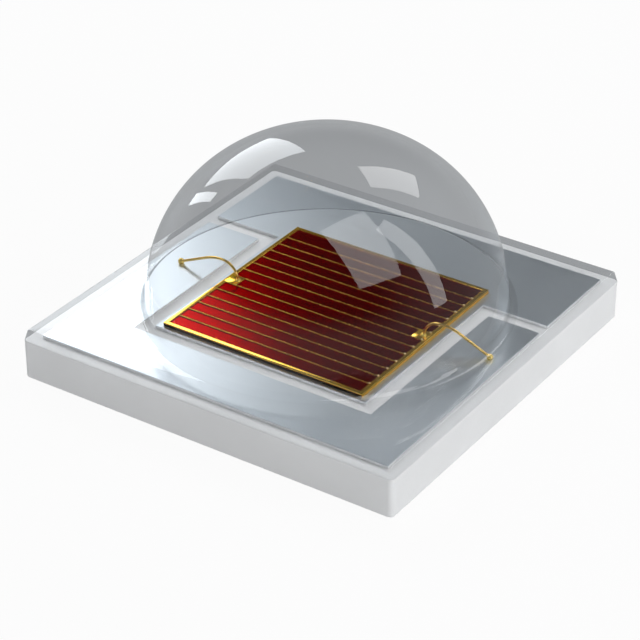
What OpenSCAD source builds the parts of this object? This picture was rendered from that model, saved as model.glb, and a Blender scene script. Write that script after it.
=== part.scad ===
// High-power surface-mount LED of the 3.5 mm square ceramic kind, with a red die.
// Millimetres. Origin at the bottom centre, +Z is the optical axis, -Y is the front edge.

/* [Board] */
// Side of the square ceramic board
board_w = 3.5; // [3.3:0.05:3.7]
// Thickness of the ceramic between its metal layers
board_t = 0.34; // [0.3:0.01:0.5]
// Radius of the board's upright corners
board_r = 0.065; // [0.03:0.005:0.12]

/* [Top metal] */
// Thickness of each metal layer
metal_t = 0.025; // [0.015:0.005:0.04]
// Bare ceramic around the top metal
metal_margin = 0.115; // [0.08:0.005:0.16]
// Bare gap between the two top pads
gap_w = 0.125; // [0.09:0.005:0.15]
// Mean width of the wires' pad beside the die, which leaves the rest for the die
arm_w = 0.5; // [0.4:0.01:0.6]
// Bare metal of the tongue on each side of the die
seat_side = 0.06; // [0.03:0.005:0.09]
// Bare metal of the tongue in front of the die
seat_front = 0.035; // [0.02:0.005:0.08]
// Depth of the bar behind the die
bar_d = 0.895; // [0.8:0.005:0.95]

/* [Bottom metal] */
// Bare ceramic around the solder pads
solder_margin = 0.15; // [0.1:0.01:0.18]
// Depth of each current pad
solder_d = 0.5; // [0.4:0.05:0.55]
// Bare ceramic between the heat pad and a current pad
heat_gap = 0.45; // [0.3:0.05:0.6]
// Diameter of the metal-filled holes through the ceramic
via_d = 0.2; // [0.12:0.02:0.24]
// Distance of each filled hole from the end of its solder pad
via_inset = 0.4; // [0.2:0.05:0.7]

/* [Die] */
// Sideways place of the die's centre
die_x = 0.026; // [-0.04:0.002:0.04]
// Place of the die's centre, front to back
die_y = -0.025; // [-0.05:0.005:0.05]
// Thickness of the solder under the die
attach_t = 0.004; // [0.003:0.001:0.006]
// Thickness of the die's metal carrier
carrier_t = 0.014; // [0.01:0.002:0.03]
// Thickness of the mirror layer on the carrier
mirror_t = 0.002; // [0.002:0.001:0.004]
// Thickness of the red light-emitting layer
emitter_t = 0.004; // [0.003:0.001:0.008]

/* [Gold contact] */
// Thickness of the gold on the die
contact_t = 0.008; // [0.006:0.002:0.012]
// Width of the gold frame round the die
frame_w = 0.036; // [0.03:0.002:0.05]
// Width of one gold finger
finger_w = 0.018; // [0.012:0.002:0.024]
// Number of gold fingers
finger_n = 13; // [9:1:17]
// Distance from the frame's inner front edge to the first finger's centre line
finger_start = 0.131; // [0.1:0.001:0.18]
// Distance from the last finger's centre line to the frame's inner rear edge
finger_end = 0.161; // [0.1:0.001:0.18]
// Number of the finger in front of the left bond pad, counted from 0 at the front
left_bond_n = 5; // [1:1:7]
// Number of the finger in front of the right bond pad
right_bond_n = 6; // [1:1:7]
// Reach of each bond pad in from the frame
bond_pad_w = 0.105; // [0.09:0.005:0.12]
// Thickness of the gold at the bond pads
bond_pad_t = 0.01; // [0.009:0.001:0.014]

/* [Wires] */
// Diameter of the gold wire
wire_d = 0.022; // [0.02:0.001:0.03]
// Diameter of the ball that joins a wire to the die
die_ball_d = 0.054; // [0.05:0.002:0.06]
// Height of that ball's centre over the bond pad
die_ball_h = 0.018; // [0.014:0.001:0.022]
// Diameter of the ball at the wire's outer end
end_ball_d = 0.054; // [0.046:0.002:0.058]
// Height of that ball's centre over the top metal
end_ball_h = 0.019; // [0.016:0.001:0.02]
// Height of the wire's centre line over the top metal at the top of its loop
loop_h = 0.181; // [0.16:0.001:0.2]
// Share of the way down that is one wide bend, where 1 leaves no straight stretch
loop_share = 0.6; // [0.3:0.05:0.9]
// Mean distance of the outer balls' centres from the top metal's side edges
end_inset = 0.178; // [0.1:0.002:0.25]
// Sideways shift of both wires from the middles of their bond pads
wire_shift = 0.022; // [0:0.002:0.024]
// Turn of the left wire away from the finger direction, in degrees
wire_turn_left = -1.5; // [-5:0.5:5]
// Turn of the right wire away from the finger direction, in degrees
wire_turn_right = 3; // [-5:0.5:5]

/* [Silicone] */
// Distance from the board's side to the foot of the dome
dome_margin = 0.255; // [0.2:0.005:0.4]
// Depth of the dome's centre under the top of the clear layer round it
dome_sink = 0.025; // [0:0.005:0.05]
// Thickness of the clear layer over the ceramic round the dome
flange_t = 0.09; // [0.07:0.01:0.1]
// How far the clear layer's sides lean in over its thickness
flange_lean = 0.05; // [0.02:0.01:0.06]
// Radius of the hollow bend at the dome's foot
foot_r = 0.07; // [0.04:0.005:0.07]

/* [Hidden] */
half_w = board_w / 2;
metal_half_w = half_w - metal_margin;
ceramic_z = metal_t;
top_z = ceramic_z + board_t;
pad_z = top_z + metal_t;
solder_half_l = half_w - solder_margin;
solder_y = solder_half_l - solder_d / 2;
heat_half_d = solder_half_l - solder_d - heat_gap;
via_x = solder_half_l - via_inset;
carrier_z = pad_z + attach_t;
mirror_z = carrier_z + carrier_t;
emitter_z = mirror_z + mirror_t;
contact_z = emitter_z + emitter_t;
bond_z = contact_z + bond_pad_t;
die_w = 2 * (metal_half_w - arm_w - gap_w - seat_side);
die_left_x = die_x - die_w / 2;
die_right_x = die_x + die_w / 2;
die_front_y = die_y - die_w / 2;
tongue_left_x = die_left_x - seat_side;
tongue_right_x = die_right_x + seat_side;
tongue_front_y = die_front_y - seat_front;
bar_front_y = metal_half_w - bar_d;
arm_left_x = tongue_left_x - gap_w;
arm_right_x = tongue_right_x + gap_w;
arm_front_y = tongue_front_y - gap_w;
arm_rear_y = bar_front_y - gap_w;
inner_w = die_w - 2 * frame_w;
finger_first_y = die_front_y + frame_w + finger_start;
finger_pitch = (inner_w - finger_start - finger_end) / (finger_n - 1);
left_bond_x = die_left_x + frame_w + bond_pad_w / 2;
right_bond_x = die_right_x - frame_w - bond_pad_w / 2;
die_ball_z = bond_z + die_ball_h;
end_ball_z = pad_z + end_ball_h;
loop_z = pad_z + loop_h;
wire_reach = metal_half_w - end_inset - (inner_w - bond_pad_w) / 2;
rise_r = loop_z - die_ball_z;
fall_run = wire_reach - rise_r;
fall_h = loop_z - end_ball_z;
loop_r = loop_share * (fall_run * fall_run + fall_h * fall_h) / (2 * fall_h);
fall_rise = loop_r - fall_h;
loop_slope = asin(loop_r / norm([fall_run, fall_rise])) - atan2(fall_rise, fall_run);
straight_l = (fall_run - loop_r * sin(loop_slope)) / cos(loop_slope);
loop_d = wire_d * 0.98;
loop_lap = wire_d * 0.16;
wire_sides = 12;
flange_z = top_z + flange_t;
dome_z = flange_z - dome_sink;
dome_r = half_w - dome_margin;
foot_out_r = dome_r + foot_r;
eps = 0.01;
$fn = 96;

// Centre line of finger i, counted from the front
function finger_y(i) = finger_first_y + i * finger_pitch;

// Middle of the bond pad that lies between finger i and the next one
function bond_y(i) = finger_y(i) + finger_pitch / 2;

// Square block centred on the axis, with round upright corners
module rounded_block(w, t, r) {
    linear_extrude(t) {
        square([w - 2 * r, w], center = true);
        square([w, w - 2 * r], center = true);
        for (sx = [-1, 1], sy = [-1, 1])
            translate([sx * (w / 2 - r), sy * (w / 2 - r)])
                circle(r);
    }
}

// Box given by two opposite corners in plan, a floor and a thickness
module slab(x0, y0, x1, y1, z, t) {
    translate([x0, y0, z])
        cube([x1 - x0, y1 - y0, t]);
}

// The two metal-filled holes over the solder pad on one side, -1 front or 1 rear
module hole_pair(side) {
    for (sx = [-1, 1])
        translate([sx * via_x, side * solder_y, ceramic_z])
            cylinder(d = via_d, h = board_t);
}

// Solder pad on one side, -1 front or 1 rear
module solder_pad(side) {
    y = side * solder_y;
    slab(-solder_half_l, y - solder_d / 2, solder_half_l, y + solder_d / 2, 0, metal_t);
}

// Square layer of the die's stack
module die_layer(z, t) {
    slab(die_left_x, die_front_y, die_right_x, die_front_y + die_w, z, t);
}

// Puts a child at the left bond pad, turned so that +X runs outwards
module at_left_bond() {
    translate([left_bond_x + wire_shift, bond_y(left_bond_n), 0])
        rotate([0, 0, 180 + wire_turn_left])
            children();
}

// Puts a child at the right bond pad, turned so that +X runs outwards
module at_right_bond() {
    translate([right_bond_x + wire_shift, bond_y(right_bond_n), 0])
        rotate([0, 0, wire_turn_right])
            children();
}

// Ball that sits on a surface at height z, cut off flat there
module seated_ball(d, centre_z, z) {
    intersection() {
        translate([0, 0, centre_z])
            sphere(d = d);
        translate([-d, -d, z])
            cube([2 * d, 2 * d, 2 * d]);
    }
}

// Stretch of wire bent round an axis along Y, through angle a from the start angle
module wire_bend(d, r, start_a, a) {
    rotate([90, 0, 0])
        rotate([0, 0, start_a])
            rotate_extrude(angle = a)
                translate([r, 0])
                    circle(d = d, $fn = wire_sides);
}

// Wire from the die ball's centre over its loop to the end ball's centre, along +X.
// The wide bend is a hair thinner, and both its ends run on inside the next stretch.
module wire_path() {
    lap_a = loop_lap / loop_r * 180 / PI;
    translate([rise_r, 0, die_ball_z])
        wire_bend(wire_d, rise_r, 90, 90);
    translate([rise_r, 0, loop_z - loop_r])
        wire_bend(loop_d, loop_r, 90 - loop_slope - lap_a, loop_slope + 2 * lap_a);
    translate([wire_reach, 0, end_ball_z])
        rotate([0, loop_slope - 90, 0])
            cylinder(d = wire_d, h = straight_l, $fn = wire_sides);
}

module bond_wire() {
    wire_path();
    seated_ball(die_ball_d, die_ball_z, bond_z);
}

module whole_end_ball() {
    translate([wire_reach, 0, 0])
        seated_ball(end_ball_d, end_ball_z, pad_z);
}

module end_ball() {
    difference() {
        whole_end_ball();
        wire_path();
    }
}

// Clear layer round the dome, its four sides leaning in
module flange_block() {
    lean = atan(flange_lean / flange_t);
    difference() {
        translate([0, 0, top_z])
            rounded_block(board_w, flange_t, board_r);
        for (a = [0:90:270])
            rotate([0, 0, a])
                translate([half_w, 0, top_z])
                    rotate([0, -lean, 0])
                        translate([0, -board_w, -board_w / 2])
                            cube([board_w, 2 * board_w, board_w]);
    }
}

module dome_body() {
    intersection() {
        translate([0, 0, dome_z])
            sphere(r = dome_r, $fn = 180);
        translate([-board_w, -board_w, top_z])
            cube([2 * board_w, 2 * board_w, 2 * board_w]);
    }
}

// Hollow bend between the dome and the clear layer
module dome_foot() {
    rotate_extrude($fn = 180)
        difference() {
            translate([dome_r - foot_r, top_z])
                square([2 * foot_r, flange_t + foot_r]);
            translate([foot_out_r, flange_z + foot_r - eps / 2])
                circle(foot_r, $fn = 96);
        }
}

module ceramic_substrate() {
    color("gainsboro")
        difference() {
            translate([0, 0, ceramic_z])
                rounded_block(board_w, board_t, board_r);
            hole_pair(-1);
            hole_pair(1);
        }
}

module heat_pad() {
    color("goldenrod")
        slab(-solder_half_l, -heat_half_d, solder_half_l, heat_half_d, 0, metal_t);
}

module solder_pad_front() {
    color("goldenrod")
        solder_pad(-1);
}

module solder_pad_rear() {
    color("goldenrod")
        solder_pad(1);
}

module filled_holes_front() {
    color("peru")
        hole_pair(-1);
}

module filled_holes_rear() {
    color("peru")
        hole_pair(1);
}

// U-shaped pad round the tongue, where both wires end
module top_pad_wires() {
    color("silver") {
        slab(-metal_half_w, -metal_half_w, metal_half_w, arm_front_y, top_z, metal_t);
        slab(-metal_half_w, -metal_half_w, arm_left_x, arm_rear_y, top_z, metal_t);
        slab(arm_right_x, -metal_half_w, metal_half_w, arm_rear_y, top_z, metal_t);
    }
}

// Rear bar with the tongue under the die
module top_pad_die() {
    color("silver") {
        slab(tongue_left_x, tongue_front_y, tongue_right_x, metal_half_w, top_z, metal_t);
        slab(-metal_half_w, bar_front_y, metal_half_w, metal_half_w, top_z, metal_t);
    }
}

module die_attach() {
    color("gray")
        die_layer(pad_z, attach_t);
}

module die_carrier() {
    color("darkgoldenrod")
        die_layer(carrier_z, carrier_t);
}

module die_mirror() {
    color("silver")
        die_layer(mirror_z, mirror_t);
}

module die_emitter() {
    color("firebrick")
        die_layer(emitter_z, emitter_t);
}

// Gold frame, fingers and the two bond pads, laid down as one deposit
module die_contact() {
    color("gold") {
        difference() {
            die_layer(contact_z, contact_t);
            translate([die_x - inner_w / 2, die_y - inner_w / 2, contact_z - eps])
                cube([inner_w, inner_w, contact_t + 2 * eps]);
        }
        for (i = [0:finger_n - 1])
            slab(die_left_x + frame_w / 2, finger_y(i) - finger_w / 2,
                 die_right_x - frame_w / 2, finger_y(i) + finger_w / 2, contact_z, contact_t);
        slab(die_left_x + frame_w / 2, finger_y(left_bond_n),
             left_bond_x + bond_pad_w / 2, finger_y(left_bond_n + 1), contact_z, bond_pad_t);
        slab(right_bond_x - bond_pad_w / 2, finger_y(right_bond_n),
             die_right_x - frame_w / 2, finger_y(right_bond_n + 1), contact_z, bond_pad_t);
    }
}

module bond_wire_left() {
    color("gold")
        at_left_bond()
            bond_wire();
}

module bond_wire_right() {
    color("gold")
        at_right_bond()
            bond_wire();
}

module end_ball_left() {
    color("gold")
        at_left_bond()
            end_ball();
}

module end_ball_right() {
    color("gold")
        at_right_bond()
            end_ball();
}

// Everything that the silicone was cast round
module encapsulated() {
    top_pad_wires();
    top_pad_die();
    die_layer(pad_z, contact_z - pad_z);
    die_contact();
    at_left_bond()
        bond_wire();
    at_right_bond()
        bond_wire();
    at_left_bond()
        whole_end_ball();
    at_right_bond()
        whole_end_ball();
}

module silicone_lens() {
    color("lightblue", 0.3)
        difference() {
            union() {
                flange_block();
                dome_body();
                dome_foot();
            }
            encapsulated();
        }
}

ceramic_substrate();
heat_pad();
solder_pad_front();
solder_pad_rear();
filled_holes_front();
filled_holes_rear();
top_pad_wires();
top_pad_die();
die_attach();
die_carrier();
die_mirror();
die_emitter();
die_contact();
bond_wire_left();
bond_wire_right();
end_ball_left();
end_ball_right();
silicone_lens();
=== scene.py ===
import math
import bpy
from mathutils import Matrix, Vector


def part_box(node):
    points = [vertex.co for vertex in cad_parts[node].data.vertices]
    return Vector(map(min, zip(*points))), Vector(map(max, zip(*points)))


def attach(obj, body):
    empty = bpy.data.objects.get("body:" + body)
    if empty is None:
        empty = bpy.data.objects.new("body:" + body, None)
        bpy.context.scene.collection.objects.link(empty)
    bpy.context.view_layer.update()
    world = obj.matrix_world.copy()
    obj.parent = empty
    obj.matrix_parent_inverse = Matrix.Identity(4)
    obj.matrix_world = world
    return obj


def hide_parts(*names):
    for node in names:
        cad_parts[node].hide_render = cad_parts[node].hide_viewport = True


bl_info = {
    "name": "Domed LED",
    "version": (1, 0, 0),
    "blender": (4, 5, 0),
    "location": "View3D > Sidebar > LED",
    "description": "Dresses the CAD frame of a square surface-mount LED with a clear dome",
    "category": "Object",
}

import bmesh
import bpy
from bpy.props import FloatProperty, FloatVectorProperty, IntProperty, PointerProperty
from mathutils import Matrix, Vector

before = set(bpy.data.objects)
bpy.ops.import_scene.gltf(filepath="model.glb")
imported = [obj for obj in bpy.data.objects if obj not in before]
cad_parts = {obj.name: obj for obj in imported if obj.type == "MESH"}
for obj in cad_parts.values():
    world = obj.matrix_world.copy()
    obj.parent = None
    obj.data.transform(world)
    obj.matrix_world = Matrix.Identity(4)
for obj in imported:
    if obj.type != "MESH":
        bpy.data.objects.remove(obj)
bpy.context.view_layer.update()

# Everything is in metres, in the CAD frame: +Z is the optical axis and -Y is the front edge.
MM = 0.001
# Thickness of the gold frame over that of a bond pad, and of a finger over the frame's
FRAME_SHARE = 0.8
FINGER_SHARE = 0.9
# Bevel of the gold's upper edges and radius of a polished finger end, over a finger's width
SHOULDER_SHARE = 0.12
BEAD_SHARE = 0.75
# Place of a polished finger end, inwards from the frame's right edge, over the frame's width
BEAD_PLACE = 1.1
# Part of the floor's brightness, as the camera sees it, that no shadow can darken
FLOOR_GLOW = 0.95
# Sides of the clear dome's rings
DOME_SIDES = 192
board_low, board_high = (Vector(corner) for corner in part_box("ceramic_substrate"))
pad_low, pad_high = (Vector(corner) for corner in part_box("top_pad_wires"))
die_low, die_high = (Vector(corner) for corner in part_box("die_emitter"))
gold_low, gold_high = (Vector(corner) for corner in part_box("die_contact"))
lens_low, lens_high = (Vector(corner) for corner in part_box("silicone_lens"))


# Sizes and colours that a user would change


def length(label, text, millimetres):
    """A length property, given in millimetres and kept in metres."""
    return FloatProperty(
        name=label,
        description=text,
        default=millimetres * MM,
        min=0.0,
        precision=6,
        unit="LENGTH",
    )


def angle(label, text, degrees):
    return FloatProperty(
        name=label, description=text, default=math.radians(degrees), unit="ROTATION"
    )


def colour(label, text, rgb):
    return FloatVectorProperty(
        name=label,
        description=text,
        default=rgb,
        size=3,
        min=0.0,
        max=1.0,
        subtype="COLOR",
    )


class BoardSettings(bpy.types.PropertyGroup):
    corner: length("Corner radius", "Radius of the board's upright corners", 0.045)
    edge: length("Edge round", "Radius of the ceramic's worn edges", 0.01)
    pad_corner: length("Pad corner", "Radius of a solder pad's corners", 0.03)
    pad_edge: length("Pad edge", "Bevel round the face of each metal pad", 0.003)
    gap: length("Pad gap", "Bare ceramic between the two top pads", 0.125)
    seat_side: length("Seat side", "Bare metal of the tongue beside the die", 0.06)
    seat_front: length("Seat front", "Bare metal of the tongue before the die", 0.035)
    bar_depth: length("Bar depth", "Depth of the bar behind the die", 0.895)
    ceramic: colour("Ceramic", "Colour of the sintered ceramic", (0.8, 0.805, 0.81))
    silver: colour("Silver", "Colour of the plated top pads", (0.64, 0.69, 0.73))
    land: colour("Solder lands", "Colour of the gilded solder pads", (0.93, 0.7, 0.36))


class DieSettings(bpy.types.PropertyGroup):
    frame_width: length("Frame width", "Width of the gold frame on the die", 0.036)
    finger_width: length("Finger width", "Width of one gold finger", 0.014)
    fingers: IntProperty(
        name="Fingers", description="Number of gold fingers", default=13, min=2, max=40
    )
    first: length("First finger", "Frame's front inner edge to the first finger", 0.131)
    last: length("Last finger", "Last finger to the frame's rear inner edge", 0.161)
    left_row: IntProperty(
        name="Left row", description="Finger in front of the left bond pad", default=5
    )
    right_row: IntProperty(
        name="Right row", description="Finger in front of the right bond pad", default=6
    )
    bond_pad: length("Bond pad", "Reach of a bond pad in from the frame", 0.105)
    red: colour("Emitter", "Colour of the red light-emitting layer", (0.34, 0.003, 0.001))
    gold: colour("Gold", "Colour of the gold on the die", (1.0, 0.66, 0.13))


class WireSettings(bpy.types.PropertyGroup):
    wire: length("Wire", "Diameter of the gold wire", 0.022)
    die_ball: length("Die ball", "Diameter of the ball on the die", 0.054)
    die_ball_height: length("Die ball height", "Its centre over the bond pad", 0.018)
    end_ball: length("End ball", "Diameter of the ball at the outer end", 0.054)
    share: FloatProperty(
        name="Wide bend",
        description="Share of the way down that is one wide bend",
        default=0.6,
        min=0.1,
        max=0.95,
    )
    gold: colour("Wire gold", "Colour of the drawn gold wire", (1.0, 0.7, 0.22))


class LensSettings(bpy.types.PropertyGroup):
    dome_radius: length("Dome radius", "Half the dome's width over its foot", 1.477)
    dome_height: length("Dome height", "Top of the dome over its widest ring", 1.432)
    dome_base: length("Widest ring", "Height of that ring over the underside", 0.458)
    squareness: FloatProperty(
        name="Squareness",
        description="Power of the dome's outline, where 2 is an ellipse",
        default=2.11,
        min=1.5,
        max=3.0,
    )
    foot: length("Foot radius", "Hollow bend between dome and flange", 0.072)
    flange: length("Flange", "Thickness of the clear layer over the ceramic", 0.09)
    lean: length("Flange lean", "How far the flange's sides lean in", 0.03)
    edge: length("Flange edge", "Rounding of the flange's upper edge", 0.012)
    sink: length("Sink", "How far the clear piece runs on inside the ceramic", 0.03)


class StageSettings(bpy.types.PropertyGroup):
    camera_azimuth: angle("Camera azimuth", "Turn from the front to the right", 34.0)
    camera_elevation: angle("Camera elevation", "Height over the horizon", 31.28)
    camera_distance: length("Camera distance", "From the point looked at", 19.13)
    camera_view: angle("Field of view", "Width of the square picture", 15.003)
    target: FloatVectorProperty(
        name="Target",
        description="Point that the camera looks at",
        default=(0.2921 * MM, -0.5335 * MM, 0.6337 * MM),
        size=3,
        precision=6,
        subtype="TRANSLATION",
        unit="LENGTH",
    )
    floor_radius: length("Floor radius", "Radius of the pale floor", 400.0)
    floor: colour("Floor", "Colour of the floor", (0.8, 0.8, 0.8))
    backdrop: colour("Backdrop", "White that the camera sees", (1.0, 1.0, 1.0))
    mirrored: colour(
        "Mirrored backdrop", "The same seen through or in the lens", (0.385, 0.395, 0.405)
    )
    sky: colour("Sky", "Colour of the room's light walls", (0.3, 0.315, 0.33))
    shade: colour("Shade", "Colour of the room's dark side", (0.04, 0.043, 0.047))


# Meshes


def new_object(name, data):
    """Object at the origin, for a mesh, a light or a camera."""
    piece = bpy.data.objects.new(name, data)
    bpy.context.scene.collection.objects.link(piece)
    return piece


def bake(piece):
    """Puts the piece's evaluated mesh in place of its modifiers."""
    depsgraph = bpy.context.evaluated_depsgraph_get()
    mesh = bpy.data.meshes.new_from_object(
        piece.evaluated_get(depsgraph), depsgraph=depsgraph
    )
    piece.modifiers.clear()
    piece.data = mesh
    mesh.name = piece.name
    return piece


def hold_flats(piece):
    """Keeps large flat faces flat where a small round joins them."""
    weights = piece.modifiers.new("Weighted normals", "WEIGHTED_NORMAL")
    weights.mode = "FACE_AREA"
    weights.weight = 100
    weights.keep_sharp = True
    return bake(piece)


def mesh_object(name, shape, smooth_angle=50.0):
    """Turns a bmesh into a piece whose faces point outwards and whose curves are smooth."""
    bmesh.ops.remove_doubles(shape, verts=shape.verts, dist=1e-9)
    bmesh.ops.recalc_face_normals(shape, faces=shape.faces)
    mesh = bpy.data.meshes.new(name)
    shape.to_mesh(mesh)
    shape.free()
    mesh.shade_smooth()
    mesh.set_sharp_from_angle(angle=math.radians(smooth_angle))
    return hold_flats(new_object(name, mesh))


def dress(piece, material, slot, *nodes):
    """Gives a finished piece its material and its place on the part."""
    piece.data.materials.clear()
    piece.data.materials.append(material)
    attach(piece, "root")
    if nodes:
        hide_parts(*nodes)
    return piece


def repaint(node, material):
    """A CAD node keeps its shape and gets a better material."""
    node_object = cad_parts[node]
    if not node_object.material_slots:
        node_object.data.materials.append(material)
    for place in node_object.material_slots:
        place.material = material


def rounded_outline(corners, radius, steps):
    """Outline with each corner, outer or inner, turned into an arc. The corners run
    anticlockwise."""
    points = []
    count = len(corners)
    for i, corner in enumerate(corners):
        back = (Vector(corners[i - 1]) - Vector(corner)).normalized()
        on = (Vector(corners[(i + 1) % count]) - Vector(corner)).normalized()
        middle = (back + on).normalized()
        half = math.acos(max(-1.0, min(1.0, back.dot(on)))) / 2
        centre = Vector(corner) + middle * (radius / math.sin(half))
        start = Vector(corner) + back * (radius / math.tan(half)) - centre
        end = Vector(corner) + on * (radius / math.tan(half)) - centre
        turn = start.angle_signed(end)
        for step in range(steps + 1):
            swing = Matrix.Rotation(-turn * step / steps, 2)
            points.append(centre + swing @ start)
    return points


def rectangle(low, high, inset=0.0):
    """Corners of a box seen from above, anticlockwise, each moved in by the inset."""
    return [
        (low[0] + inset, low[1] + inset),
        (high[0] - inset, low[1] + inset),
        (high[0] - inset, high[1] - inset),
        (low[0] + inset, high[1] - inset),
    ]


def add_ring(shape, outline, height):
    return [shape.verts.new((p[0], p[1], height)) for p in outline]


def bridge(shape, lower, upper):
    """Walls between two rings of equal count."""
    count = len(lower)
    for i in range(count):
        j = (i + 1) % count
        shape.faces.new((lower[i], lower[j], upper[j], upper[i]))


def lofted_block(name, rings):
    """Closed block through outlines of equal count, each with its height."""
    shape = bmesh.new()
    made = [add_ring(shape, outline, height) for outline, height in rings]
    for lower, upper in zip(made, made[1:]):
        bridge(shape, lower, upper)
    shape.faces.new(list(reversed(made[0])))
    shape.faces.new(made[-1])
    return mesh_object(name, shape)


def rounded_block(name, low, high, corner, levels, steps):
    """Closed block with round upright corners, from levels of (inset, height)."""
    rings = [
        (rounded_outline(rectangle(low, high, inset), corner - inset, steps), height)
        for inset, height in levels
    ]
    return lofted_block(name, rings)


def bevel(shape, edges, offset, segments):
    bmesh.ops.bevel(
        shape,
        geom=list(edges),
        offset=offset,
        segments=segments,
        profile=0.5,
        affect="EDGES",
    )


def add_plate(shape, outline, low, high):
    """Plate of any outline with upright sides, in a bmesh. Gives back its top face."""
    lower = add_ring(shape, outline, low)
    upper = add_ring(shape, outline, high)
    bridge(shape, lower, upper)
    shape.faces.new(list(reversed(lower)))
    return shape.faces.new(upper)


def quarter_round(radius, steps):
    """Steps of (inset, drop) from the top of a wall in to the top face."""
    arc = [math.pi / 2 * i / steps for i in range(steps + 1)]
    return [(radius * (1 - math.cos(a)), radius * (1 - math.sin(a))) for a in arc]


# Geometry Nodes


def add_sockets(tree, in_out, kinds):
    for label, kind in kinds.items():
        tree.interface.new_socket(label, in_out=in_out, socket_type="NodeSocket" + kind)


def new_tree(name, **kinds):
    """Geometry Nodes tree with named inputs, and its group input and output nodes."""
    tree = bpy.data.node_groups.new(name, "GeometryNodeTree")
    add_sockets(tree, "OUTPUT", {"Geometry": "Geometry"})
    add_sockets(tree, "INPUT", {"Geometry": "Geometry", **kinds})
    return tree, tree.nodes.new("NodeGroupInput"), tree.nodes.new("NodeGroupOutput")


def chain(tree, *nodes):
    """Links each node's first output to the next node's first input."""
    for before, after in zip(nodes, nodes[1:]):
        tree.links.new(before.outputs[0], after.inputs[0])


def link_inputs(tree, given, takers):
    """Links the group's inputs, by name, to sockets of the nodes that take them."""
    for label, node, socket in takers:
        tree.links.new(given.outputs[label], node.inputs[socket])


def apply_tree(piece, tree, values):
    """Runs the tree on the piece and leaves a plain mesh in its place."""
    modifier = piece.modifiers.new(tree.name, "NODES")
    modifier.node_group = tree
    for item in tree.interface.items_tree:
        if item.in_out == "INPUT" and item.name in values:
            modifier[item.identifier] = values[item.name]
    return bake(piece)


def drawn_wire_tree():
    """Sweeps a round wire along the piece's own line of points."""
    tree, given, result = new_tree(
        "Drawn wire", Radius="Float", Sides="Int", Finish="Material"
    )
    line = tree.nodes.new("GeometryNodeMeshToCurve")
    section = tree.nodes.new("GeometryNodeCurvePrimitiveCircle")
    sweep = tree.nodes.new("GeometryNodeCurveToMesh")
    smooth = tree.nodes.new("GeometryNodeSetShadeSmooth")
    real = tree.nodes.new("GeometryNodeRealizeInstances")
    finish = tree.nodes.new("GeometryNodeSetMaterial")
    link_inputs(
        tree,
        given,
        [
            ("Geometry", line, "Mesh"),
            ("Radius", section, "Radius"),
            ("Sides", section, "Resolution"),
            ("Finish", finish, "Material"),
        ],
    )
    tree.links.new(section.outputs["Curve"], sweep.inputs["Profile Curve"])
    sweep.inputs["Fill Caps"].default_value = True
    chain(tree, line, sweep, smooth, real, finish, result)
    return tree


def finger_row_tree():
    """Adds a row of round-shouldered fingers to the piece, along +Y."""
    tree, given, result = new_tree(
        "Finger row",
        Count="Int",
        Start="Vector",
        Pitch="Vector",
        Length="Vector",
        Width="Float",
        Height="Float",
        Shoulder="Float",
        Finish="Material",
    )
    places = tree.nodes.new("GeometryNodeMeshLine")
    spine = tree.nodes.new("GeometryNodeCurvePrimitiveLine")
    section = tree.nodes.new("GeometryNodeCurvePrimitiveQuadrilateral")
    rounded = tree.nodes.new("GeometryNodeFilletCurve")
    sweep = tree.nodes.new("GeometryNodeCurveToMesh")
    copies = tree.nodes.new("GeometryNodeInstanceOnPoints")
    joined = tree.nodes.new("GeometryNodeJoinGeometry")
    real = tree.nodes.new("GeometryNodeRealizeInstances")
    finish = tree.nodes.new("GeometryNodeSetMaterial")
    rounded.mode = "POLY"
    rounded.inputs["Count"].default_value = 3
    sweep.inputs["Fill Caps"].default_value = True
    link_inputs(
        tree,
        given,
        [
            ("Count", places, "Count"),
            ("Start", places, "Start Location"),
            ("Pitch", places, "Offset"),
            ("Length", spine, "End"),
            ("Width", section, "Width"),
            ("Height", section, "Height"),
            ("Shoulder", rounded, "Radius"),
            ("Geometry", joined, "Geometry"),
            ("Finish", finish, "Material"),
        ],
    )
    tree.links.new(section.outputs["Curve"], rounded.inputs["Curve"])
    tree.links.new(spine.outputs["Curve"], sweep.inputs["Curve"])
    tree.links.new(rounded.outputs["Curve"], sweep.inputs["Profile Curve"])
    tree.links.new(places.outputs["Mesh"], copies.inputs["Points"])
    tree.links.new(sweep.outputs["Mesh"], copies.inputs["Instance"])
    tree.links.new(copies.outputs["Instances"], joined.inputs["Geometry"])
    chain(tree, joined, real, finish, result)
    return tree


# Materials


def feed(tree, value, socket):
    """Links an output to the socket, or sets it where the value is a plain one."""
    if isinstance(value, bpy.types.NodeSocket):
        tree.links.new(value, socket)
    else:
        socket.default_value = value


def maths(tree, operation, *values):
    node = tree.nodes.new("ShaderNodeMath")
    node.operation = operation
    for value, socket in zip(values, node.inputs):
        feed(tree, value, socket)
    return node.outputs[0]


def vector_maths(tree, operation, *values):
    """Vector arithmetic. LENGTH and DOT_PRODUCT put out a number."""
    node = tree.nodes.new("ShaderNodeVectorMath")
    node.operation = operation
    for value, socket in zip(values, node.inputs):
        feed(tree, value, socket)
    return node.outputs["Value" if operation in ("LENGTH", "DOT_PRODUCT") else "Vector"]


def remapped(tree, value, from_low, from_high, to_low=0.0, to_high=1.0, soft=False):
    """The value moved from one range to another, with soft ends if asked."""
    node = tree.nodes.new("ShaderNodeMapRange")
    if soft:
        node.interpolation_type = "SMOOTHSTEP"
    for part, socket in zip((value, from_low, from_high, to_low, to_high), node.inputs):
        feed(tree, part, socket)
    return node.outputs["Result"]


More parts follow.
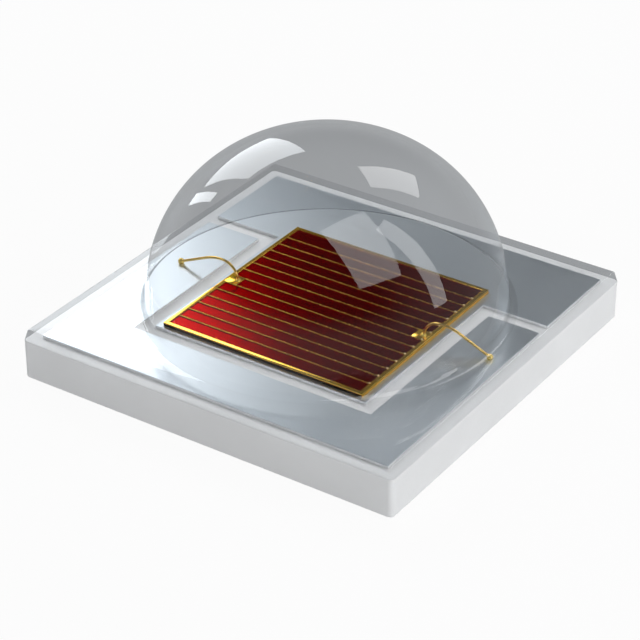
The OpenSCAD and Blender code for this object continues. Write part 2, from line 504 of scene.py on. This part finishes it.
def blended(tree, factor, first, second, way="MIX"):
    """Two colours blended by the factor."""
    node = tree.nodes.new("ShaderNodeMix")
    node.data_type = "RGBA"
    node.blend_type = way
    feed(tree, factor, node.inputs["Factor"])
    for value, label in ((first, "A"), (second, "B")):
        if not isinstance(value, bpy.types.NodeSocket):
            value = (*value, 1.0)
        feed(tree, value, node.inputs[label])
    return node.outputs["Result"]


def surface_grain_group():
    """Two tones in soft patches, with a finer grain for roughness and height.
    Sizes are in metres, read from Object coordinates."""
    group = bpy.data.node_groups.get("Surface grain")
    if group:
        return group
    group = bpy.data.node_groups.new("Surface grain", "ShaderNodeTree")
    kinds = {
        "Tone A": "Color",
        "Tone B": "Color",
        "Patch size": "Float",
        "Grain size": "Vector",
        "Smoothest": "Float",
        "Roughest": "Float",
    }
    add_sockets(group, "INPUT", kinds)
    results = {"Color": "Color", "Roughness": "Float", "Height": "Float"}
    add_sockets(group, "OUTPUT", results)
    given, result = group.nodes.new("NodeGroupInput"), group.nodes.new("NodeGroupOutput")
    asked = given.outputs
    place = group.nodes.new("ShaderNodeTexCoord").outputs["Object"]

    def noise(where, detail):
        node = group.nodes.new("ShaderNodeTexNoise")
        node.inputs["Scale"].default_value = 1.0
        node.inputs["Detail"].default_value = detail
        group.links.new(where, node.inputs["Vector"])
        return node.outputs["Fac"]

    patch_place = group.nodes.new("ShaderNodeVectorMath")
    patch_place.operation = "SCALE"
    group.links.new(place, patch_place.inputs[0])
    scale = maths(group, "DIVIDE", 1.0, asked["Patch size"])
    group.links.new(scale, patch_place.inputs["Scale"])
    patches = remapped(group, noise(patch_place.outputs[0], 3.0), 0.3, 0.7)
    tones = blended(group, patches, asked["Tone A"], asked["Tone B"])
    grain = noise(vector_maths(group, "DIVIDE", place, asked["Grain size"]), 2.0)
    rough = remapped(group, grain, 0.25, 0.75, asked["Smoothest"], asked["Roughest"])
    for value, label in ((tones, "Color"), (rough, "Roughness"), (grain, "Height")):
        group.links.new(value, result.inputs[label])
    return group


def shaded(rgb, share):
    return tuple(channel * share for channel in rgb)


def new_material(name):
    material = bpy.data.materials.new(name)
    material.use_nodes = True
    return material, material.node_tree, material.node_tree.nodes["Principled BSDF"]


def add_grain(tree, shader, tone, other_tone, patch, grain, rough, height):
    """Feeds the shader's roughness and normal from the grain group and gives back the
    group's colour. patch and grain are sizes in millimetres, height is the grain's depth
    in micrometres."""
    surface = tree.nodes.new("ShaderNodeGroup")
    surface.node_tree = surface_grain_group()
    for label, value in {
        "Tone A": (*tone, 1.0),
        "Tone B": (*other_tone, 1.0),
        "Patch size": patch * MM,
        "Grain size": [grain * MM] * 3,
        "Smoothest": rough[0],
        "Roughest": rough[1],
    }.items():
        surface.inputs[label].default_value = value
    bump = tree.nodes.new("ShaderNodeBump")
    bump.inputs["Distance"].default_value = height * MM * MM
    tree.links.new(surface.outputs["Height"], bump.inputs["Height"])
    tree.links.new(surface.outputs["Roughness"], shader.inputs["Roughness"])
    tree.links.new(bump.outputs["Normal"], shader.inputs["Normal"])
    return surface.outputs["Color"]


def grained_material(
    name, rgb, darker, patch, grain, rough, height=0.0, metallic=0.0, tint=None
):
    """Opaque finish in two tones of one colour, of which the second is darker."""
    material, tree, shader = new_material(name)
    tones = add_grain(tree, shader, rgb, shaded(rgb, darker), patch, grain, rough, height)
    tree.links.new(tones, shader.inputs["Base Color"])
    shader.inputs["Metallic"].default_value = metallic
    if tint:
        shader.inputs["Specular Tint"].default_value = (*tint, 1.0)
    return material


def ceramic_material():
    rgb = tuple(bpy.context.scene.led_board.ceramic)
    return grained_material(
        "White ceramic",
        rgb,
        darker=0.95,
        patch=0.6,
        grain=0.02,
        rough=(0.42, 0.62),
        height=0.9,
    )


def facing_share(tree, axis):
    """How far the surface faces along an axis, from -1 to 1."""
    split = tree.nodes.new("ShaderNodeSeparateXYZ")
    normal = tree.nodes.new("ShaderNodeNewGeometry").outputs["Normal"]
    tree.links.new(normal, split.inputs["Vector"])
    return split.outputs[axis]


def silver_material(name):
    """Silver plate that mirrors softly, with painted light on its upright sides, which get a
    paler colour than the top.
    """
    rgb = tuple(bpy.context.scene.led_board.silver)
    material = grained_material(
        name, rgb, darker=0.97, patch=0.5, grain=0.05, rough=(0.29, 0.35), metallic=1.0
    )
    tree = material.node_tree
    colour_in = tree.nodes["Principled BSDF"].inputs["Base Color"]
    # Painted light: upright sides fade to a pale silver in place of the top's tone
    unpainted_top_share = remapped(tree, facing_share(tree, "Z"), 0.1, 0.6)
    top_tone = colour_in.links[0].from_socket
    feed(tree, blended(tree, unpainted_top_share, (0.95, 0.96, 0.97), top_tone), colour_in)
    return material


def gold_material(name, rgb, rough, grain=0.008, height=0.15, metallic=1.0):
    """Metal whose colour holds at a glancing view too. Under 1, metallic gives it a matt
    share that soft light reaches from any side."""
    return grained_material(
        name,
        rgb,
        darker=0.9,
        patch=0.15,
        grain=grain,
        rough=rough,
        height=height,
        metallic=metallic,
        tint=rgb,
    )


def carrier_material(name, rgb):
    """Gilded on the sides that face left and right, with painted shade on the sides that face
    front and back, which get a near black colour.
    """
    material = gold_material(name, rgb, rough=(0.35, 0.45))
    tree = material.node_tree
    colour_in = tree.nodes["Principled BSDF"].inputs["Base Color"]
    # Painted shade: the more a side faces front or back, the nearer it goes to near black
    painted_shade_share = maths(tree, "ABSOLUTE", facing_share(tree, "Y"))
    gilded = colour_in.links[0].from_socket
    feed(tree, blended(tree, painted_shade_share, gilded, (0.03, 0.022, 0.012)), colour_in)
    return material


def emitter_material():
    rgb = tuple(bpy.context.scene.led_die.red)
    return grained_material(
        "Red emitter",
        rgb,
        darker=0.88,
        patch=0.35,
        grain=0.06,
        rough=(0.17, 0.19),
        metallic=1.0,
        tint=(0.8, 0.05, 0.05),
    )


def foot_painted_shade(tree, clear, outside):
    """The clear colour with painted shade: darker where the hollow bend at the dome's foot is
    seen at a glancing angle from outside. It stands in for the dark that the bend reflects."""
    lens = bpy.context.scene.led_lens
    bend_middle = lens.dome_radius + lens.foot / 2
    place = tree.nodes.new("ShaderNodeTexCoord").outputs["Object"]
    level = vector_maths(tree, "MULTIPLY", place, (1.0, 1.0, 0.0))
    past_middle = maths(tree, "SUBTRACT", vector_maths(tree, "LENGTH", level), bend_middle)
    off_middle = maths(tree, "ABSOLUTE", past_middle)
    bend = remapped(tree, off_middle, lens.foot * 0.4, lens.foot * 0.55, 1.0, 0.0, True)
    view = tree.nodes.new("ShaderNodeLayerWeight")
    view.inputs["Blend"].default_value = 0.5
    glancing = remapped(tree, view.outputs["Facing"], 0.3, 0.8, soft=True)
    share = maths(tree, "MULTIPLY", maths(tree, "MULTIPLY", bend, glancing), outside)
    # Painted shade: this dark grey stands in for a dark reflection in the bend
    return blended(tree, share, clear, (0.25, 0.26, 0.27))


def silicone_material():
    """Clear silicone, which doesn't bend what lies in it and mirrors the room on its skin."""
    material, tree, shader = new_material("Clear silicone")
    nodes, links = tree.nodes, tree.links
    shader.inputs["Transmission Weight"].default_value = 1.0
    shader.inputs["Metallic"].default_value = 0.0
    shader.inputs["IOR"].default_value = 1.001
    shader.inputs["Coat Roughness"].default_value = 0.0
    shader.inputs["Coat IOR"].default_value = 1.5
    tones = add_grain(
        tree,
        shader,
        tone=(1.0, 1.0, 1.0),
        other_tone=(0.985, 0.99, 0.995),
        patch=1.1,
        grain=0.4,
        rough=(0.0, 0.0),
        height=0.04,
    )

    inside = nodes.new("ShaderNodeNewGeometry").outputs["Backfacing"]
    gloss = remapped(tree, inside, 0.0, 1.0, 1.0, 0.2)
    links.new(gloss, shader.inputs["Coat Weight"])
    # Painted shade at the dome's foot, where its hollow bend is seen at a glancing angle
    clear = foot_painted_shade(tree, tones, gloss)
    depth = blended(tree, inside, clear, (0.82, 0.83, 0.84), "MULTIPLY")
    links.new(depth, shader.inputs["Base Color"])

    path = nodes.new("ShaderNodeLightPath")
    unseen = nodes.new("ShaderNodeBsdfTransparent")
    choice = nodes.new("ShaderNodeMixShader")
    links.new(path.outputs["Is Shadow Ray"], choice.inputs["Fac"])
    links.new(shader.outputs["BSDF"], choice.inputs[1])
    links.new(unseen.outputs["BSDF"], choice.inputs[2])
    links.new(choice.outputs["Shader"], nodes["Material Output"].inputs["Surface"])
    return material


# The pieces


class LED_OT_board(bpy.types.Operator):
    """Builds the ceramic board and gives the filled holes in it their finish"""

    bl_idname = "led.board"
    bl_label = "Ceramic board"

    def execute(self, context):
        board = context.scene.led_board
        worn = quarter_round(board.edge, steps=3)
        levels = [(inset, board_low.z + drop) for inset, drop in reversed(worn)]
        levels += [(inset, board_high.z - drop) for inset, drop in worn]
        block = rounded_block(
            "ceramic_board", board_low, board_high, board.corner, levels, steps=8
        )
        dress(block, ceramic_material(), "ceramic", "ceramic_substrate")
        copper = gold_material("Copper fill", (0.85, 0.5, 0.33), rough=(0.3, 0.45))
        for node in ("filled_holes_front", "filled_holes_rear"):
            repaint(node, copper)
        return {"FINISHED"}


class LED_OT_solder_pads(bpy.types.Operator):
    """Builds the three gilded pads on the underside"""

    bl_idname = "led.solder_pads"
    bl_label = "Solder pads"

    def execute(self, context):
        board = context.scene.led_board
        gilded = gold_material(
            "Gilded land", tuple(board.land), (0.24, 0.36), grain=0.02, height=0.4
        )
        worn = quarter_round(board.pad_edge, steps=2)
        for node in ("heat_pad", "solder_pad_front", "solder_pad_rear"):
            low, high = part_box(node)
            levels = [(inset, low[2] + drop) for inset, drop in reversed(worn)]
            levels.append((0.0, high[2]))
            plate = rounded_block(
                node.replace("pad", "land"), low, high, board.pad_corner, levels, steps=6
            )
            dress(plate, gilded, "solder_gold", node)
        return {"FINISHED"}


class LED_OT_top_pads(bpy.types.Operator):
    """Builds the silvered pads that the wires and the die sit on"""

    bl_idname = "led.top_pads"
    bl_label = "Top pads"

    def execute(self, context):
        board = context.scene.led_board
        silver = silver_material("Silver plate")
        half = pad_high.x
        left = die_low.x - board.seat_side
        right = die_high.x + board.seat_side
        front = die_low.y - board.seat_front
        bar = half - board.bar_depth
        gap = board.gap
        tongue = [
            (left, front),
            (right, front),
            (right, bar),
            (half, bar),
            (half, half),
            (-half, half),
            (-half, bar),
            (left, bar),
        ]
        arms = [
            (-half, -half),
            (half, -half),
            (half, bar - gap),
            (right + gap, bar - gap),
            (right + gap, front - gap),
            (left - gap, front - gap),
            (left - gap, bar - gap),
            (-half, bar - gap),
        ]
        for name, corners, node in (
            ("die_pad", tongue, "top_pad_die"),
            ("wires_pad", arms, "top_pad_wires"),
        ):
            shape = bmesh.new()
            outline = rounded_outline(corners, board.pad_edge * 2, steps=4)
            top = add_plate(shape, outline, pad_low.z, pad_high.z)
            bevel(shape, top.edges, board.pad_edge, segments=2)
            dress(mesh_object(name, shape), silver, "silver_plate", node)
        return {"FINISHED"}


class LED_OT_die(bpy.types.Operator):
    """Gives the layers of the red die their finishes"""

    bl_idname = "led.die"
    bl_label = "Die"

    def execute(self, context):
        for node, name, rgb in (
            ("die_attach", "Gold-tin solder", (0.75, 0.42, 0.1)),
            ("die_carrier", "Gilded carrier", (0.95, 0.6, 0.14)),
            ("die_mirror", "Gold mirror layer", (0.98, 0.6, 0.15)),
        ):
            repaint(node, carrier_material(name, rgb))
        repaint("die_emitter", emitter_material())
        return {"FINISHED"}


def add_frame(shape, low, high, wide, top, shoulder):
    """Square frame with bevelled upper edges, in a bmesh."""
    outer, inner = rectangle(low, high), rectangle(low, high, wide)
    rings = [
        add_ring(shape, outer, low.z),
        add_ring(shape, outer, top),
        add_ring(shape, inner, top),
        add_ring(shape, inner, low.z),
    ]
    for one, other in zip(rings, rings[1:] + rings[:1]):
        bridge(shape, one, other)
    crests = [
        edge
        for edge in shape.edges
        if all(abs(vert.co.z - top) < 1e-9 for vert in edge.verts)
        and edge.calc_length() > 4 * wide
    ]
    bevel(shape, crests, shoulder, segments=3)


def build_fingers(die, start, pitch, reach, thick, shoulder):
    """Row of thin gold fingers, which end within the frame's left and right sides."""
    fingers = new_object("gold_fingers", bpy.data.meshes.new("gold_fingers"))
    # Painted shade: the fingers get the die's gold at half its brightness, darker than the
    # frame
    gold = gold_material("Finger gold, painted shade", shaded(die.gold, 0.5), rough=(0.22, 0.3))
    sizes = {
        "Count": die.fingers,
        "Start": start,
        "Pitch": (0.0, pitch, 0.0),
        "Length": (reach, 0.0, 0.0),
        "Width": die.finger_width,
        "Height": thick,
        "Shoulder": shoulder,
        "Finish": gold,
    }
    apply_tree(fingers, finger_row_tree(), sizes)
    fingers.data.set_sharp_from_angle(angle=math.radians(40.0))
    dress(fingers, gold, "contact_gold")


class LED_OT_contact(bpy.types.Operator):
    """Builds the gold frame, its fingers and the two bond pads on the die"""

    bl_idname = "led.contact"
    bl_label = "Gold contact"

    def execute(self, context):
        die = context.scene.led_die
        low, high, wide = gold_low, gold_high, die.frame_width
        thick = FRAME_SHARE * (high.z - low.z)
        frame_top = low.z + thick
        shoulder = SHOULDER_SHARE * die.finger_width
        shape = bmesh.new()
        add_frame(shape, low, high, wide, frame_top, shoulder)

        pitch_room = high.y - low.y - 2 * wide - die.first - die.last
        pitch = pitch_room / (die.fingers - 1)
        first_y = low.y + wide + die.first
        for row, x0, x1 in (
            (die.left_row, low.x + wide / 2, low.x + wide + die.bond_pad),
            (die.right_row, high.x - wide - die.bond_pad, high.x - wide / 2),
        ):
            front, rear = first_y + row * pitch, first_y + (row + 1) * pitch
            top = add_plate(shape, rectangle((x0, front), (x1, rear)), low.z, high.z)
            bevel(shape, top.edges, shoulder, segments=2)

        bead_x, bead_z = high.x - BEAD_PLACE * wide, frame_top - shoulder
        bead = ball_profile(BEAD_SHARE * die.finger_width, shoulder, steps=6)
        beads = bmesh.new()
        for row in range(die.fingers):
            lathe(beads, bead, Vector((bead_x, first_y + row * pitch, bead_z)), turns=16)
        polished = gold_material("Polished beads", (1.0, 0.85, 0.5), (0.2, 0.25), height=0)
        dress(mesh_object("finger_ends", beads), polished, "contact_gold")

        contact = mesh_object("gold_contact", shape)
        contact.data.set_sharp_from_angle(angle=math.radians(40.0))
        gold = gold_material("Die gold", tuple(die.gold), rough=(0.15, 0.22))
        dress(contact, gold, "contact_gold", "die_contact")
        finger_thick = FINGER_SHARE * thick
        start = (low.x + wide / 2, first_y, low.z + finger_thick / 2)
        reach = high.x - low.x - wide
        build_fingers(die, start, pitch, reach, finger_thick, shoulder)
        return {"FINISHED"}


def lathe(shape, profile, centre, turns=32):
    """Closed round body from (radius, height) points, first and last on the axis."""
    rings = []
    for radius, height in profile[1:-1]:
        ring = []
        for i in range(turns):
            a = 2 * math.pi * i / turns
            offset = Vector((radius * math.cos(a), radius * math.sin(a), height))
            ring.append(shape.verts.new(centre + offset))
        rings.append(ring)
    for lower, upper in zip(rings, rings[1:]):
        bridge(shape, lower, upper)
    foot = shape.verts.new(centre + Vector((0, 0, profile[0][1])))
    tip = shape.verts.new(centre + Vector((0, 0, profile[-1][1])))
    for i in range(turns):
        j = (i + 1) % turns
        shape.faces.new((foot, rings[0][j], rings[0][i]))
        shape.faces.new((tip, rings[-1][i], rings[-1][j]))


def ball_profile(radius, drop, steps=14):
    """Ball cut flat at the given depth under its centre."""
    start = -math.asin(min(1.0, drop / radius))
    points = [(0.0, -drop)]
    for i in range(steps + 1):
        a = start + (math.pi / 2 - start) * i / steps
        points.append((radius * math.cos(a), radius * math.sin(a)))
    points[-1] = (0.0, radius)
    return points


def loop_points(reach, rise, drop, share, steps=14):
    """Wire's centre line in its own plane: upright out of the die ball into a quarter turn,
    over one wide bend and down a straight stretch to the end ball. rise and drop are
    measured from the two balls to the top."""
    run = reach - rise
    bend = share * (run * run + drop * drop) / (2 * drop)
    slope = math.asin(bend / math.hypot(run, bend - drop)) - math.atan2(bend - drop, run)
    points = []
    for i in range(steps + 1):
        a = math.pi / 2 * i / steps
        points.append((rise - rise * math.cos(a), rise * math.sin(a)))
    for i in range(1, steps + 1):
        a = slope * i / steps
        points.append((rise + bend * math.sin(a), rise - bend + bend * math.cos(a)))
    points.append((reach, rise - drop))
    return points


class LED_OT_wires(bpy.types.Operator):
    """Builds the two gold bond wires with the balls at both ends of each"""

    bl_idname = "led.wires"
    bl_label = "Bond wires"

    def execute(self, context):
        wires = context.scene.led_wires
        gold = gold_material(
            "Wire gold", tuple(wires.gold), (0.16, 0.24), grain=0.03, height=0.05
        )
        round_gold = gold_material(
            "Ball gold",
            (1.0, 0.74, 0.18),
            (0.13, 0.17),
            grain=0.02,
            height=0.0,
            metallic=0.85,
        )
        tree = drawn_wire_tree()
        for side, outwards in (("left", -1), ("right", 1)):
            low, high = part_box("bond_wire_" + side)
            end_low, end_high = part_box("end_ball_" + side)
            ball = wires.die_ball / 2
            start_x = (high[0] - ball) if outwards < 0 else (low[0] + ball)
            start = Vector((start_x, low[1] + ball, low[2] + wires.die_ball_height))
            end = Vector(
                (
                    (end_low[0] + end_high[0]) / 2,
                    (end_low[1] + end_high[1]) / 2,
                    end_high[2] - wires.end_ball / 2,
                )
            )
            top = high[2] - wires.wire / 2
            flat = Vector((end.x - start.x, end.y - start.y, 0.0))
            along = flat.normalized()
            path = [
                start + along * x + Vector((0, 0, z))
                for x, z in loop_points(
                    flat.length, top - start.z, top - end.z, wires.share
                )
            ]
            mesh = bpy.data.meshes.new("wire_" + side)
            links = [(i, i + 1) for i in range(len(path) - 1)]
            mesh.from_pydata(path, links, [])
            wire = new_object("wire_" + side, mesh)
            apply_tree(
                wire, tree, {"Radius": wires.wire / 2, "Sides": 24, "Finish": gold}
            )
            wire.data.shade_smooth()
            dress(wire, gold, "wire_gold", "bond_wire_" + side)

            shape = bmesh.new()
            lathe(shape, ball_profile(ball, wires.die_ball_height), start)
            dress(mesh_object("die_ball_" + side, shape), round_gold, "wire_gold")
            shape = bmesh.new()
            drop = end.z - pad_high.z
            lathe(shape, ball_profile(wires.end_ball / 2, drop), end)
            knob = mesh_object("outer_ball_" + side, shape)
            dress(knob, round_gold, "wire_gold", "end_ball_" + side)
        return {"FINISHED"}


def dome_profile(lens, flange_top, steps=56, foot_steps=10):
    """(radius, height) points from the dome's top down to the foot of its hollow bend."""
    power = 2 / lens.squareness
    points = []
    for i in range(steps + 1):
        a = math.pi / 2 * i / steps
        radius = lens.dome_radius * math.sin(a) ** power
        height = lens.dome_base + lens.dome_height * max(0.0, math.cos(a)) ** power
        if height > flange_top + lens.foot:
            points.append((radius, height))
    for i in range(foot_steps + 1):
        a = math.pi / 2 * i / foot_steps
        points.append(
            (
                lens.dome_radius + lens.foot * (1 - math.cos(a)),
                flange_top + lens.foot * (1 - math.sin(a)),
            )
        )
    return points


class LED_OT_lens(bpy.types.Operator):
    """Builds the clear dome and the clear flange that are cast in one over the board"""

    bl_idname = "led.lens"
    bl_label = "Clear lens"

    def execute(self, context):
        lens = context.scene.led_lens
        corner = context.scene.led_board.corner
        flange_top = lens_low.z + lens.flange
        shape = bmesh.new()
        rings = []
        profile = dome_profile(lens, flange_top)
        for radius, height in profile[1:]:
            turn = [2 * math.pi * i / DOME_SIDES for i in range(DOME_SIDES)]
            circle = [(radius * math.cos(a), radius * math.sin(a)) for a in turn]
            rings.append(add_ring(shape, circle, height))
        for upper, lower in zip(rings, rings[1:]):
            bridge(shape, lower, upper)
        tip = shape.verts.new((0.0, 0.0, profile[0][1]))
        for i in range(DOME_SIDES):
            shape.faces.new((tip, rings[0][i], rings[0][(i + 1) % DOME_SIDES]))

        walls = [(lens.sink, -lens.sink), (0.0, 0.0)]
        for inset, drop in quarter_round(lens.edge, steps=4):
            share = 1 - drop / lens.flange
            walls.append((lens.lean * share + inset, lens.flange - drop))
        sides = []
        for inset, height in walls:
            corners = rectangle(lens_low, lens_high, inset)
            outline = rounded_outline(corners, max(corner - inset, corner / 3), steps=8)
            sides.append(add_ring(shape, outline, lens_low.z + height))
        for lower, upper in zip(sides, sides[1:]):
            bridge(shape, lower, upper)
        shape.faces.new(list(reversed(sides[0])))
        border = []
        for ring in (rings[-1], sides[-1]):
            for i, vert in enumerate(ring):
                border.append(shape.edges.get((vert, ring[(i + 1) % len(ring)])))
        bmesh.ops.triangle_fill(shape, edges=border, use_beauty=True)
        clear = mesh_object("clear_lens", shape, smooth_angle=35.0)
        dress(clear, silicone_material(), "clear_silicone", "silicone_lens")
        return {"FINISHED"}


# Stage


def direction(azimuth, elevation):
    """Unit vector, with azimuth in degrees from +Y towards +X."""
    turn, rise = math.radians(azimuth), math.radians(elevation)
    return Vector(
        (math.sin(turn) * math.cos(rise), math.cos(turn) * math.cos(rise), math.sin(rise))
    )


def soft_box(name, azimuth, elevation, wide, tall, lean, brightness, tone):
    """Flat soft light as the dome sees it: wide and tall are its half extents over its
    distance, and lean turns its top to the right, in degrees."""
    away = 26.0 * MM
    dome = Vector((0.0, 0.0, 1.2 * MM))
    towards = direction(azimuth, elevation)
    light = bpy.data.lights.new(name, "AREA")
    light.shape = "RECTANGLE"
    light.size = 2 * wide * away
    light.size_y = 2 * tall * away
    light.energy = brightness * math.pi * light.size * light.size_y
    light.color = tone
    lamp = new_object(name, light)
    turn = towards.to_track_quat("Z", "Y").to_matrix().to_4x4()
    lamp.matrix_world = (
        Matrix.Translation(dome + towards * away)
        @ turn
        @ Matrix.Rotation(math.radians(lean), 4, "Z")
    )
    lamp.visible_camera = False
    return lamp


def backdrop_nodes(tree, stage):
    """Nodes that tell whether a ray sees the backdrop itself, by eye, in gloss or through
    glass, and what colour it sees there: white by eye, softer in and through the lens."""
    path = tree.nodes.new("ShaderNodeLightPath").outputs
    by_lens = maths(tree, "MAXIMUM", path["Is Glossy Ray"], path["Is Transmission Ray"])
    seen = maths(tree, "MAXIMUM", path["Is Camera Ray"], by_lens)
    return path, seen, blended(tree, by_lens, stage.backdrop, stage.mirrored)


def floor_material(stage):
    """Pale floor that shows the backdrop's white and still takes a shadow. It can't be
    seen from below."""
    material, tree, shader = new_material("Pale floor")
    nodes, links = tree.nodes, tree.links
    nodes.remove(shader)
    paper = nodes.new("ShaderNodeBsdfDiffuse")
    paper.inputs["Color"].default_value = (*stage.floor, 1.0)
    path, seen, tone = backdrop_nodes(tree, stage)
    white = nodes.new("ShaderNodeEmission")
    links.new(tone, white.inputs["Color"])
    lit = nodes.new("ShaderNodeMixShader")
    links.new(maths(tree, "MULTIPLY", seen, FLOOR_GLOW), lit.inputs["Fac"])
    links.new(paper.outputs["BSDF"], lit.inputs[1])
    links.new(white.outputs["Emission"], lit.inputs[2])
    under = nodes.new("ShaderNodeNewGeometry")
    clear = nodes.new("ShaderNodeBsdfTransparent")
    sided = nodes.new("ShaderNodeMixShader")
    links.new(under.outputs["Backfacing"], sided.inputs["Fac"])
    links.new(lit.outputs["Shader"], sided.inputs[1])
    links.new(clear.outputs["BSDF"], sided.inputs[2])
    links.new(sided.outputs["Shader"], nodes["Material Output"].inputs["Surface"])
    return material


def room_light(stage):
    """World with light walls at the right, a dark side at the left and a white backdrop."""
    world = bpy.data.worlds.new("Studio room")
    bpy.context.scene.world = world
    world.use_nodes = True
    tree = world.node_tree
    place = tree.nodes.new("ShaderNodeTexCoord").outputs["Generated"]
    towards_walls = vector_maths(tree, "DOT_PRODUCT", place, direction(45, 15))
    side = remapped(tree, towards_walls, 0.4, 0.95, soft=True)
    walls = blended(tree, side, stage.shade, stage.sky)
    path, seen, tone = backdrop_nodes(tree, stage)
    height = tree.nodes.new("ShaderNodeSeparateXYZ")
    tree.links.new(place, height.inputs["Vector"])
    risen = remapped(tree, height.outputs["Z"], 0.02, 0.4, soft=True)
    horizon = blended(tree, risen, stage.mirrored, walls)
    bounces = maths(tree, "ADD", path["Diffuse Depth"], path["Glossy Depth"])
    straight = maths(tree, "LESS_THAN", bounces, 0.5)
    shown = blended(tree, straight, horizon, tone)
    tree.links.new(shown, tree.nodes["Background"].inputs["Color"])


def lay_floor(stage):
    shape = bmesh.new()
    bmesh.ops.create_circle(shape, cap_ends=True, segments=96, radius=stage.floor_radius)
    bmesh.ops.translate(shape, verts=shape.verts, vec=(0.0, 0.0, -0.001 * MM))
    mesh = bpy.data.meshes.new("floor")
    shape.to_mesh(mesh)
    shape.free()
    floor = new_object("floor", mesh)
    mesh.materials.append(floor_material(stage))


def soft_lights():
    """The boxes that the dome mirrors, the fills, which it doesn't, and the inner lights,
    which reach only what lies under the clear lens."""
    cool, plain = (0.93, 0.97, 1.0), (1.0, 1.0, 1.0)
    soft_box("rear_left_box", -57.8, 24.25, 0.227, 0.245, 3.4, 3.9, cool)
    soft_box("rear_box", 2.9, 44.9, 0.152, 0.21, -33, 3.4, plain)
    for lamp in (
        soft_box("left_strip", -78.1, 14.9, 0.042, 0.167, -24, 5.5, cool),
        soft_box("right_panel", 103.1, 58.3, 0.268, 0.433, -5, 3.0, plain),
        soft_box("right_strip", 69.2, 33.4, 0.103, 0.56, -7, 3.4, plain),
        soft_box("front_fill", 175.0, 10.0, 0.5, 0.3, 0, 2.1, plain),
        soft_box("right_fill", 95.0, 10.0, 0.5, 0.3, 0, 2.6, plain),
    ):
        lamp.visible_transmission = False
        lamp.visible_diffuse = "panel" not in lamp.name
        lamp.visible_glossy = "fill" not in lamp.name
    for lamp in (
        soft_box("inner_front", -130.0, 42.0, 0.2, 0.15, 0, 2.6, plain),
        soft_box("inner_right", 100.0, 15.0, 0.25, 0.15, 0, 3.0, plain),
        soft_box("inner_ball", 136.0, 62.0, 0.06, 0.06, 0, 9.0, plain),
        soft_box("inner_left", -43.0, 31.0, 0.07, 0.06, 0, 3.0, plain),
    ):
        lamp.visible_diffuse = False
        lamp.visible_glossy = False


def place_camera(stage):
    optics = bpy.data.cameras.new("camera")
    optics.sensor_fit = "HORIZONTAL"
    optics.angle = stage.camera_view
    optics.clip_start = 0.5 * MM
    optics.clip_end = 2.0
    camera = new_object("camera", optics)
    level = math.cos(stage.camera_elevation)
    back = Vector(
        (
            math.sin(stage.camera_azimuth) * level,
            -math.cos(stage.camera_azimuth) * level,
            math.sin(stage.camera_elevation),
        )
    )
    turn = back.to_track_quat("Z", "Y").to_matrix().to_4x4()
    place = Matrix.Translation(Vector(stage.target) + back * stage.camera_distance)
    camera.matrix_world = place @ turn
    bpy.context.scene.camera = camera


class LED_OT_stage(bpy.types.Operator):
    """Sets the floor, the room, the soft lights and the camera"""

    bl_idname = "led.stage"
    bl_label = "Stage"

    def execute(self, context):
        stage = context.scene.led_stage
        lay_floor(stage)
        room_light(stage)
        soft_lights()
        place_camera(stage)
        context.scene.view_settings.view_transform = "Standard"
        return {"FINISHED"}


class LED_PT_panel(bpy.types.Panel):
    """Lists the pieces in the order in which they are built"""

    bl_idname = "LED_PT_panel"
    bl_label = "Domed LED"
    bl_space_type = "VIEW_3D"
    bl_region_type = "UI"
    bl_category = "LED"

    def draw(self, context):
        for operator in OPERATORS:
            self.layout.operator(operator.bl_idname)


SETTINGS = {
    "led_board": BoardSettings,
    "led_die": DieSettings,
    "led_wires": WireSettings,
    "led_lens": LensSettings,
    "led_stage": StageSettings,
}
OPERATORS = [
    LED_OT_board,
    LED_OT_solder_pads,
    LED_OT_top_pads,
    LED_OT_die,
    LED_OT_contact,
    LED_OT_wires,
    LED_OT_lens,
    LED_OT_stage,
]


def register():
    for settings in SETTINGS.values():
        bpy.utils.register_class(settings)
    for name, settings in SETTINGS.items():
        setattr(bpy.types.Scene, name, PointerProperty(type=settings))
    for operator in OPERATORS:
        bpy.utils.register_class(operator)
    bpy.utils.register_class(LED_PT_panel)


def unregister():
    bpy.utils.unregister_class(LED_PT_panel)
    for operator in reversed(OPERATORS):
        bpy.utils.unregister_class(operator)
    for name in SETTINGS:
        delattr(bpy.types.Scene, name)
    for settings in SETTINGS.values():
        bpy.utils.unregister_class(settings)


def main():
    register()
    bpy.ops.led.board()
    bpy.ops.led.solder_pads()
    bpy.ops.led.top_pads()
    bpy.ops.led.die()
    bpy.ops.led.contact()
    bpy.ops.led.wires()
    bpy.ops.led.lens()
    bpy.ops.led.stage()


if __name__ == "__main__":
    main()
